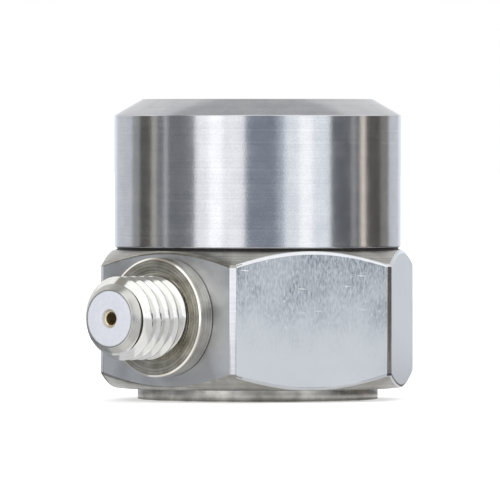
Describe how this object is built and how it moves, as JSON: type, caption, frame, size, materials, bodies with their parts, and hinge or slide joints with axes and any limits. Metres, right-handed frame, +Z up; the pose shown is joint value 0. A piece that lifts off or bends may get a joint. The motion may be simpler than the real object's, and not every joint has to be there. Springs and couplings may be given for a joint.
{
  "type": "vibration sensor",
  "caption": "Compact piezoelectric vibration sensor: hexagonal steel base with a tapped mounting hole, turned cap and a side coaxial connector.",
  "frame": {"origin": "centre of the mounting face, where the sensing axis meets the surface it is fixed to", "axes": "+Z up along the sensing axis, from the mounting face to the cap; -Y out along the connector"},
  "size_m": [0.0194, 0.0222, 0.0175],
  "materials": {
    "base_steel": "satin",
    "cap_steel": "satin",
    "flange_steel": "satin",
    "connector_nickel": "polished",
    "white_ptfe": "satin",
    "contact_gold": "polished",
    "bead_glass": "gloss",
    "lead_copper": "satin",
    "polyimide_film": "gloss",
    "board_laminate": "satin",
    "chip_epoxy": "matte",
    "resistor_glaze": "gloss",
    "capacitor_ceramic": "matte",
    "piezo_ceramic": "matte",
    "mass_tungsten": "satin",
    "ring_steel": "satin"
  },
  "bodies": {
    "root": {"hex_base": "base_steel", "cap": "cap_steel", "connector_flange": "flange_steel", "connector_shell": "connector_nickel", "connector_insulator": "white_ptfe", "contact_socket": "contact_gold", "rear_bead": "bead_glass", "lead_sleeve": "white_ptfe", "output_lead": "lead_copper", "board_film": "polyimide_film", "circuit_board": "board_laminate", "amplifier_chip": "chip_epoxy", "gate_resistor": "resistor_glaze", "bias_resistor": "resistor_glaze", "range_capacitor": "capacitor_ceramic", "ground_pin": "contact_gold", "element_lead": "lead_copper", "clamping_ring": "ring_steel", "piezo_plate_1": "piezo_ceramic", "seismic_mass_1": "mass_tungsten", "piezo_plate_2": "piezo_ceramic", "seismic_mass_2": "mass_tungsten", "piezo_plate_3": "piezo_ceramic", "seismic_mass_3": "mass_tungsten"}
  },
  "joints": []
}
